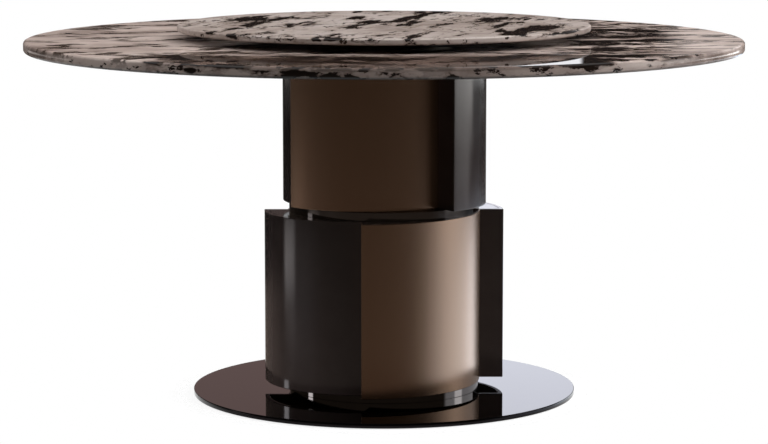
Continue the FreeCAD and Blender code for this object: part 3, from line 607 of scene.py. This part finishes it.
def bronzePanel(name, node, drum, halfTurn):
    # Thin quarter shell with a flat return that reaches in to the dark shell
    thick, offset = panelLook["bronzeThick"], drum["offset"]
    outside, inside = drum["bronzeRadius"], drum["bronzeRadius"] - thick
    returnEnd = drum["darkRadius"] - panelLook["darkThick"]
    seat = math.degrees(math.asin(thick / inside))
    outline = arcPoints(-offset, outside, 270, 360)
    outline += arcPoints(-offset, inside, 360, 270 + seat)
    outline += [(thick - offset, -returnEnd), (-offset, -returnEnd)]
    turn = drum["turn"] + halfTurn
    standPanel(name, node, outline, turn, panelLook["bronzeRound"], finishes["bronze_sheet"])


def standPanel(name, node, outline, turn, rounding, material):
    # The outline's first corner is rounded as the upper and lower edges are
    low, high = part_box(node)
    cos, sin = math.cos(math.radians(turn)), math.sin(math.radians(turn))
    turned = [(x * cos - y * sin, x * sin + y * cos, 0) for x, y in outline]
    turned[0] = (*turned[0][:2], rounding)
    steps, hold = panelLook["arcSteps"], panelLook["hold"]
    rounded = roundCorners(turned, steps, hold)
    mesh = smoothMesh(name, standMesh(rounded, low.z, high.z, rounding, steps, hold))
    mesh.materials.append(material)
    addPiece(name, mesh, node)


for drumName, drum in drumLooks.items():
    for side, halfTurn in (("left", 0), ("right", 180)):
        darkPanel(f"{drumName}_lacquer_{side}", f"{drumName}_dark_panel_{side}", drum, halfTurn)
    for side, halfTurn in (("front", 0), ("rear", 180)):
        bronzePanel(f"{drumName}_bronze_{side}", f"{drumName}_bronze_panel_{side}", drum, halfTurn)
print("drum panels made")


# Rings of like pieces: pads, feet, balls and screws

ringSizes = {"Count": "NodeSocketInt", "Circle": "NodeSocketFloat", "Level": "NodeSocketFloat"}


def ringTree(name, template, material):
    tree, sockets = newTree(name, ringSizes)
    sizes = addNode(tree, "NodeGroupInput").node.outputs
    radius = addNode(tree, "ShaderNodeMath", times, (sizes["Circle"], 0.5))
    ring = addNode(tree, "GeometryNodeMeshCircle", None, {
        "Vertices": sizes["Count"], "Radius": radius})
    lift = addNode(tree, "ShaderNodeCombineXYZ", None, {"Z": sizes["Level"]})
    ring = addNode(tree, "GeometryNodeSetPosition", None, {"Geometry": ring, "Offset": lift})
    piece = addNode(tree, "GeometryNodeObjectInfo", None, {"Object": template}, "Geometry")
    ring = addNode(tree, "GeometryNodeInstanceOnPoints", None, {"Points": ring, "Instance": piece})
    ring = addNode(tree, "GeometryNodeRealizeInstances", None, (ring,))
    ring = addNode(tree, "GeometryNodeSetMaterial", None, {"Geometry": ring, "Material": material})
    addNode(tree, "NodeGroupOutput", None, (ring,))
    return tree, sockets


def ringOfPieces(name, node, shape, look):
    template = bpy.data.objects.new(f"{name}_one", smoothMesh(f"{name}_one", shape))
    bpy.context.scene.collection.objects.link(template)
    tree, sockets = ringTree(f"{name}_tree", template, finishes[slotOfNode[node]])
    addPiece(name, bakeTree(f"{name}_ring", tree, sockets, look), node)
    bpy.data.objects.remove(template)


cornerLook = {"arcSteps": 3, "hold": 0.25}  # the hold is a share of the rounding


def turnProfile(points, rounding, segments):
    # Small turned piece with rounded corners
    hold = rounding * cornerLook["hold"]
    return turnMesh(roundCorners(points, cornerLook["arcSteps"], hold, closed=False), segments)


padLook = {"round": 0.4 * mm, "segments": 32}
padRings = {
    "rubber_floor_pads": {"node": "floor_pads", "size": 40 * mm, "tall": 1.5 * mm,
                          "Count": 8, "Circle": 700 * mm},
    "marble_cushions": {"node": "cushion_pads", "size": 30 * mm, "tall": 2 * mm,
                        "Count": 12, "Circle": 700 * mm},
    "bearing_silicone_feet": {"node": "bearing_feet", "size": 24 * mm, "tall": 1.5 * mm,
                              "Count": 6, "Circle": 250 * mm},
    "turntable_bonding_pads": {"node": "bonding_pads", "size": 24 * mm, "tall": 1.5 * mm,
                               "Count": 6, "Circle": 250 * mm},
}
for name, look in padRings.items():
    look["Level"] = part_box(look["node"])[0].z
    radius, height, rounding = look["size"] / 2, look["tall"], padLook["round"]
    corners = [(0, 0, 0), (radius, 0, rounding), (radius, height, rounding), (0, height, 0)]
    pad = turnProfile(corners, rounding, padLook["segments"])
    ringOfPieces(name, look["node"], pad, look)

ballLook = {"size": 8 * mm, "belts": 12, "segments": 24, "Count": 18, "Circle": 290 * mm}
radius = ballLook["size"] / 2
ballLook["Level"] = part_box("bearing_balls")[0].z + radius
angles = [math.pi * k / ballLook["belts"] for k in range(1, ballLook["belts"])]
belts = [(radius * math.sin(a), -radius * math.cos(a)) for a in angles]
ball = turnMesh([(0, -radius), *belts, (0, radius)], ballLook["segments"])
ringOfPieces("turntable_balls", "bearing_balls", ball, ballLook)

# The socket's mouth is a share of its width, its depth and the rounding are shares of the head
screwLook = {"head": 14 * mm, "headHeight": 5 * mm, "shank": 8 * mm, "length": 27 * mm,
             "socket": 5 * mm, "mouth": 0.62, "depth": 0.6, "round": 0.25, "segments": 24,
             "Count": 6, "Circle": 620 * mm}
screwLook["Level"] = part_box("stone_screws")[0].z


def screwShape(look):
    # Round-headed screw, head down, with a six-sided key socket in the head
    head, headHeight = look["head"], look["headHeight"]
    shank, length = look["shank"], look["length"]
    rimRound = headHeight * look["round"]
    mouthRadius = look["socket"] * look["mouth"]
    shape = turnProfile([
        (mouthRadius, 0, 0), (head / 2, 0, rimRound), (head / 2, headHeight, 0),
        (shank / 2, headHeight, 0), (shank / 2, length, rimRound), (0, length, 0)],
        rimRound, look["segments"])
    mouth = [v for v in shape.verts if abs(v.co.z) < tiny and v.co.xy.length < mouthRadius + tiny]
    mouth.sort(key=lambda v: math.atan2(v.co.y, v.co.x))
    rings = [mouth]
    side = math.pi / 3
    for height in (0, headHeight * look["depth"]):
        ring = []
        for vert in mouth:
            angle = math.atan2(vert.co.y, vert.co.x)
            flat = (angle + side / 2) % side - side / 2
            reach = look["socket"] / 2 / math.cos(flat)
            ring.append(shape.verts.new((reach * math.cos(angle), reach * math.sin(angle), height)))
        rings.append(ring)
    for outer, inner in zip(rings, rings[1:]):
        for k in range(len(mouth)):
            after = (k + 1) % len(mouth)
            shape.faces.new((outer[k], outer[after], inner[after], inner[k]))
    shape.faces.new(rings[-1])
    return shape


ringOfPieces("marble_screws", "stone_screws", screwShape(screwLook), screwLook)
print("rings of pads, balls and screws made")


# Studio: a pale floor and backdrop, a dim room with soft windows for the gloss, and light from
# above

floorLook = {"radius": 0.6, "segments": 96, "fade": (0.405, 0.46), "glow": 0.8, "colour": "#9a9a9a"}


def studioFloor():
    # Paper under the table that fades out past the base plate
    material = bpy.data.materials.new("pale_paper_floor")
    material.use_nodes = True
    tree = material.node_tree
    tree.nodes.clear()
    coords = addNode(tree, "ShaderNodeTexCoord", output="Object")
    away = addNode(tree, "ShaderNodeVectorMath", {"operation": "LENGTH"}, (coords,), "Value")
    fade = addNode(tree, "ShaderNodeMapRange", smooth, (away, *floorLook["fade"], 0, 1))
    path = addNode(tree, "ShaderNodeLightPath").node.outputs
    seen = addNode(tree, "ShaderNodeMath", larger, (path["Is Camera Ray"], path["Is Glossy Ray"]))
    seen = addNode(tree, "ShaderNodeMath", larger, (seen, path["Is Transmission Ray"]))
    glow = addNode(tree, "ShaderNodeMath", times, (seen, floorLook["glow"]))
    paper = addNode(tree, "ShaderNodeBsdfDiffuse", None, {"Color": linear(floorLook["colour"])})
    light = addNode(tree, "ShaderNodeEmission", None, {"Strength": glow})
    paper = addNode(tree, "ShaderNodeAddShader", None, (paper, light))
    clear = addNode(tree, "ShaderNodeBsdfTransparent")
    paper = addNode(tree, "ShaderNodeMixShader", None, (fade, paper, clear))
    addNode(tree, "ShaderNodeOutputMaterial", None, {"Surface": paper})
    sheet = turnMesh([(0, 0), (floorLook["radius"], 0)], floorLook["segments"])
    mesh = smoothMesh("studio_floor", sheet)
    mesh.materials.append(material)
    floor = bpy.data.objects.new("studio_floor", mesh)
    bpy.context.scene.collection.objects.link(floor)


# Directions are degrees: bearing 0 is straight behind the table as the camera sees it, positive to
# the right. For each window: bearing from and to, height from and to, softness of both, light.
studioWindows = {
    "backdrop": ((-10, 10), (-16, -2.5), (2, 0.5), (1, 1, 1)),
    "rear dark wall": ((-14, 14), (-1.5, 9), (2, 0.5), (0.025, 0.021, 0.02)),
    "rear left wall": ((-14, 0.5), (8.8, 26), (0.5, 0.6), (0.29, 0.2, 0.19)),
    "rear left low wall": ((-14, 0.5), (7.2, 8.8), (0.5, 0.3), (0.12, 0.09, 0.085)),
    "rear right wall": ((5.6, 14), (2, 8), (0.4, 0.5), (0.4, 0.37, 0.36)),
    "rear window": ((1.66, 3.85), (6.5, 26), (0.08, 1.8), (1.7, 1.74, 1.95)),
    "rear sill": ((1.66, 3.85), (4.5, 6.5), (0.06, 0.03), (2.6, 2.6, 2.7)),
    "left dark wall": ((-75, -12), (-9, 6), (4, 0.3), (0.02, 0.017, 0.016)),
    "left rim wall": ((-70, -26), (-4.8, -3.9), (4, 0.1), (1.2, 1.1, 1.05)),
    "left floor": ((-66, -34), (-14, -9), (9, 0.4), (0.2, 0.155, 0.135)),
    "left glow": ((-122, -84), (-10.5, -8), (16, 0.4), (0.3, 0.27, 0.27)),
    "left window": ((-94, -77), (-9, -7.95), (4, 0.25), (2.4, 2.25, 2.25)),
    "left high window": ((-83, -75), (8, 16), (1, 1), (5.5, 5.3, 5.5)),
    "right dark wall": ((12, 62), (-8.1, 4), (3, 0.3), (0.05, 0.045, 0.042)),
    "right rim window": ((28, 68), (-4.8, -3.9), (3, 0.1), (5, 5, 5)),
    "right high wall": ((12, 100), (7, 24), (3, 1), (1.1, 1.1, 1.15)),
    "right high window": ((70, 84), (9, 14), (2, 1), (3.5, 3.5, 3.6)),
    "right low window": ((73, 100), (-7.5, -5), (5, 0.25), (0.85, 0.8, 0.78)),
    "right window": ((66, 100), (-5.6, 4), (5, 0.9), (3.5, 3.4, 3.3)),
    "right glow": ((15, 102), (-15, -7.95), (24, 0.2), (1.84, 2.15, 2.6)),
    "right low glow": ((12, 56), (-15, -7.95), (3, 0.2), (3.0, 3.45, 4.05)),
}
roomLight = {
    "lowRoom": (0.165, 0.13, 0.11), "highRoom": (0.06, 0.046, 0.036), "roomHeight": (-10.5, -5),
    "floor": (1, 1, 1), "floorBelow": (-14, -12.8), "floorFront": 9, "frontFrom": (97, 133),
    "ceiling": (1.25, 1.25, 1.25), "ceilingFrom": (28, 52), "backdrop": (1, 1, 1),
}
# Reach is the cosine of the angle to the axis, from where the light begins to where it is full
domeLight = {
    "axis": (0.1, 0.53, 0.84), "reach": (0, 0.9), "light": (0.07, 1.3),
    "horizon": (-8, 0), "below": 0.2,
    "flanks": {"left": {"axis": (-0.7, -0.1, 0.7), "reach": (0.86, 0.98), "light": (0, 3)},
               "right": {"axis": (0.84, 0, 0.54), "reach": (0.8, 0.97), "light": (0, 5)}},
}


def studioWorld():
    world = bpy.data.worlds.new("studio")
    bpy.context.scene.world = world
    world.use_nodes = True
    world.cycles.sampling_method = "NONE"
    tree = world.node_tree
    tree.nodes.clear()
    towards = addNode(tree, "ShaderNodeTexCoord", output="Generated")
    axes = addNode(tree, "ShaderNodeSeparateXYZ", None, (towards,)).node.outputs
    bearing = addNode(tree, "ShaderNodeMath", {"operation": "ARCTAN2"}, (axes["X"], axes["Y"]))
    bearing = addNode(tree, "ShaderNodeMath", {"operation": "DEGREES"}, (bearing,))
    height = addNode(tree, "ShaderNodeMath", {"operation": "ARCSINE"}, (axes["Z"],))
    height = addNode(tree, "ShaderNodeMath", {"operation": "DEGREES"}, (height,))

    # What gloss shows: walls, windows, floor and ceiling
    up = addNode(tree, "ShaderNodeMapRange", None, (height, *roomLight["roomHeight"], 0, 1))
    picture = addNode(tree, "ShaderNodeMix", colourMix, {
        "Factor": up, "A": (*roomLight["lowRoom"], 1), "B": (*roomLight["highRoom"], 1)}, "Result")
    overlays = []
    for bearings, heights, softness, light in studioWindows.values():
        mask = None
        for value, ends, soft in zip((bearing, height), (bearings, heights), softness):
            for end, outside, inside in ((ends[0], 0, 1), (ends[1], 1, 0)):
                edge = addNode(tree, "ShaderNodeMapRange", smooth, (
                    value, end - soft, end + soft, outside, inside))
                mask = addNode(tree, "ShaderNodeMath", times, (mask, edge)) if mask else edge
        overlays.append((mask, light))
    sideways = addNode(tree, "ShaderNodeMath", unsigned, (bearing,))
    lower = addNode(tree, "ShaderNodeMapRange", smooth, (
        sideways, *roomLight["frontFrom"], 0, roomLight["floorFront"]))
    lower = addNode(tree, "ShaderNodeMath", plus, (height, lower))
    floor = addNode(tree, "ShaderNodeMapRange", smooth, (lower, *roomLight["floorBelow"], 1, 0))
    ceiling = addNode(tree, "ShaderNodeMapRange", smooth, (height, *roomLight["ceilingFrom"], 0, 1))
    overlays += [(floor, roomLight["floor"]), (ceiling, roomLight["ceiling"])]

    # The camera sees a plain pale backdrop on every side
    path = addNode(tree, "ShaderNodeLightPath").node.outputs
    overlays.append((path["Is Camera Ray"], roomLight["backdrop"]))
    for mask, light in overlays:
        picture = addNode(tree, "ShaderNodeMix", colourMix, {
            "Factor": mask, "A": picture, "B": (*light, 1)}, "Result")

    # What lights the object: a soft dome that leans to the back, and a side light on either flank
    dome = None
    for lobe in (domeLight, *domeLight["flanks"].values()):
        lean = addNode(tree, "ShaderNodeVectorMath", {"operation": "DOT_PRODUCT"}, (
            towards, lobe["axis"]), "Value")
        share = addNode(tree, "ShaderNodeMapRange", smooth, (lean, *lobe["reach"], *lobe["light"]))
        dome = addNode(tree, "ShaderNodeMath", plus, (dome, share)) if dome else share
    ground = addNode(tree, "ShaderNodeMapRange", smooth, (
        height, *domeLight["horizon"], domeLight["below"], 1))
    dome = addNode(tree, "ShaderNodeMath", times, (dome, ground))

    seen = addNode(tree, "ShaderNodeMath", larger, (path["Is Camera Ray"], path["Is Glossy Ray"]))
    seen = addNode(tree, "ShaderNodeMath", larger, (seen, path["Is Transmission Ray"]))
    shown = addNode(tree, "ShaderNodeBackground", None, {"Color": picture})
    lit = addNode(tree, "ShaderNodeBackground", None, {"Strength": dome})
    mixed = addNode(tree, "ShaderNodeMixShader", None, (seen, lit, shown))
    addNode(tree, "ShaderNodeOutputWorld", None, {"Surface": mixed})


studioFloor()
studioWorld()

cameraLook = {"lens": 137.7, "sensor": 36, "place": (0, -6.14, 1.204), "down": 7.81, "far": 200}
camera = bpy.data.objects.new("camera", bpy.data.cameras.new("camera"))
camera.data.lens = cameraLook["lens"]
camera.data.sensor_width = cameraLook["sensor"]
camera.data.clip_end = cameraLook["far"]
camera.location = cameraLook["place"]
camera.rotation_euler = (math.radians(90 - cameraLook["down"]), 0, 0)
bpy.context.scene.collection.objects.link(camera)
bpy.context.scene.camera = camera
bpy.context.scene.view_settings.view_transform = "Standard"
print("studio and camera made")
